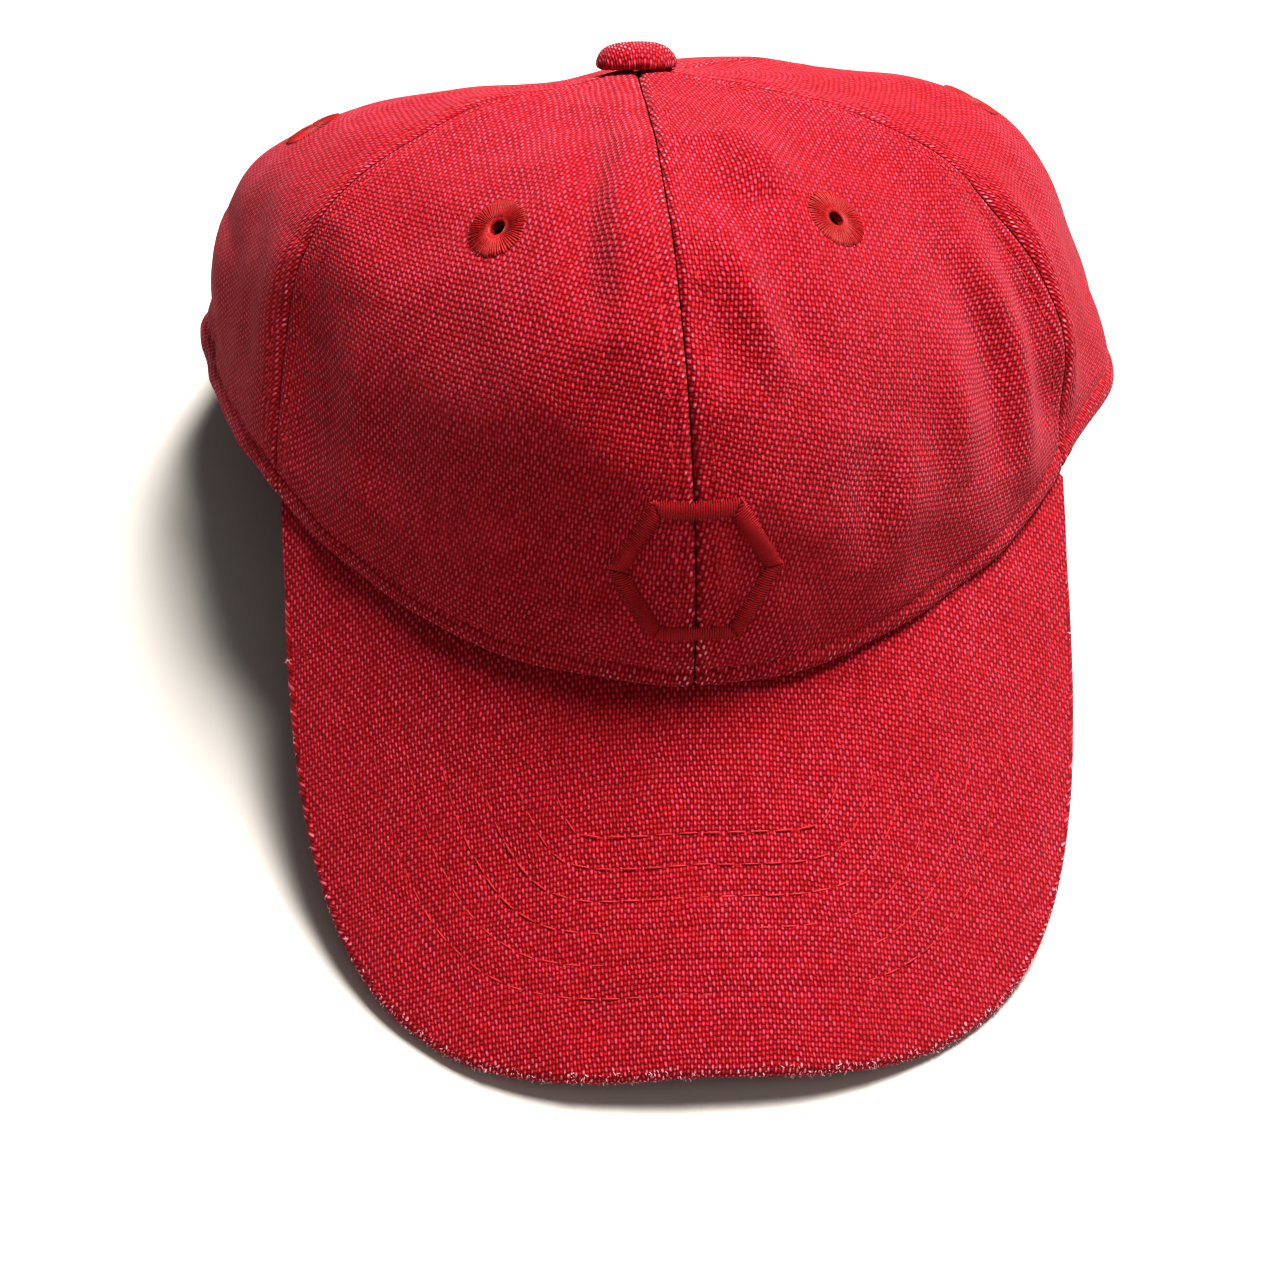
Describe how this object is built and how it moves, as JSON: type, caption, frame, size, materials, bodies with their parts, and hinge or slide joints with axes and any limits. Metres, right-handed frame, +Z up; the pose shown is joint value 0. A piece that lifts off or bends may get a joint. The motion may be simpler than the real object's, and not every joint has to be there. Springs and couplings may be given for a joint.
{
  "type": "bump cap",
  "caption": "Soft six-panel cloth cap with a curved brim, rear strap and flip buckle, over a lift-out hard shell insert with foam pads.",
  "frame": {"origin": "on the table under the middle of the whole cap, with the cap resting on the front corners of its brim and the rear of its hem", "axes": "+Z up from the table, -Y the way the brim points, +X the wearer's left, on the right of a viewer who faces the brim"},
  "size_m": [0.2036, 0.2552, 0.1229],
  "materials": {
    "canvas": "coarse cotton canvas, matte, worn pale on ridges and edges",
    "under_canvas": "coarse cotton canvas, matte",
    "thread": "satin embroidery thread",
    "seam_tape": "cotton tape, matte",
    "sweatband": "cotton twill, matte",
    "brim_board": "matte",
    "brass": "brushed, slightly tarnished",
    "steel": "satin",
    "shell": "moulded, fine grain",
    "foam": "cloth-faced foam",
    "hook_and_loop": "hook and loop pile"
  },
  "bodies": {
    "insert": {"insert_shell": "shell", "pad_crown": "foam", "pad_front": "foam", "pad_rear": "foam", "pad_right": "foam", "pad_left": "foam", "hook_patch_front_right": "hook_and_loop", "hook_patch_front_left": "hook_and_loop", "hook_patch_rear_right": "hook_and_loop", "hook_patch_rear_left": "hook_and_loop"},
    "cover": {"panel_front_right": "canvas", "panel_side_right": "canvas", "panel_rear_right": "canvas", "panel_front_left": "canvas", "panel_side_left": "canvas", "panel_rear_left": "canvas", "eyelet_front_right": "thread", "eyelet_front_left": "thread", "eyelet_side_right": "thread", "eyelet_side_left": "thread", "eyelet_rear_right": "thread", "eyelet_rear_left": "thread", "seam_tape_front": "seam_tape", "seam_tape_rear": "seam_tape", "seam_tape_front_right": "seam_tape", "seam_tape_rear_right": "seam_tape", "seam_tape_front_left": "seam_tape", "seam_tape_rear_left": "seam_tape", "sweatband": "sweatband", "rear_arch_binding": "seam_tape", "brim_top_cover": "canvas", "brim_board": "brim_board", "brim_under_cover": "under_canvas", "top_button": "canvas", "button_rivet": "steel", "button_washer": "steel", "front_emblem": "thread", "strap_long": "canvas", "strap_short": "canvas", "strap_keeper": "canvas", "buckle_base": "brass", "lever_pin": "steel", "loop_patch_front_right": "hook_and_loop", "loop_patch_front_left": "hook_and_loop", "loop_patch_rear_right": "hook_and_loop", "loop_patch_rear_left": "hook_and_loop"},
    "lever": {"buckle_lever": "brass"}
  },
  "joints": [
    {"name": "cover_lift", "type": "slide", "parent": "insert", "child": "cover", "axis": [0, 0, 1], "range_m": [0, 0.13]},
    {"name": "lever_hinge", "type": "hinge", "parent": "cover", "child": "lever", "pos_m": [0.00688, 0.12468, 0.01266], "axis": [0.0192, 0.0817, -0.9965], "range_deg": [0, 110]}
  ]
}
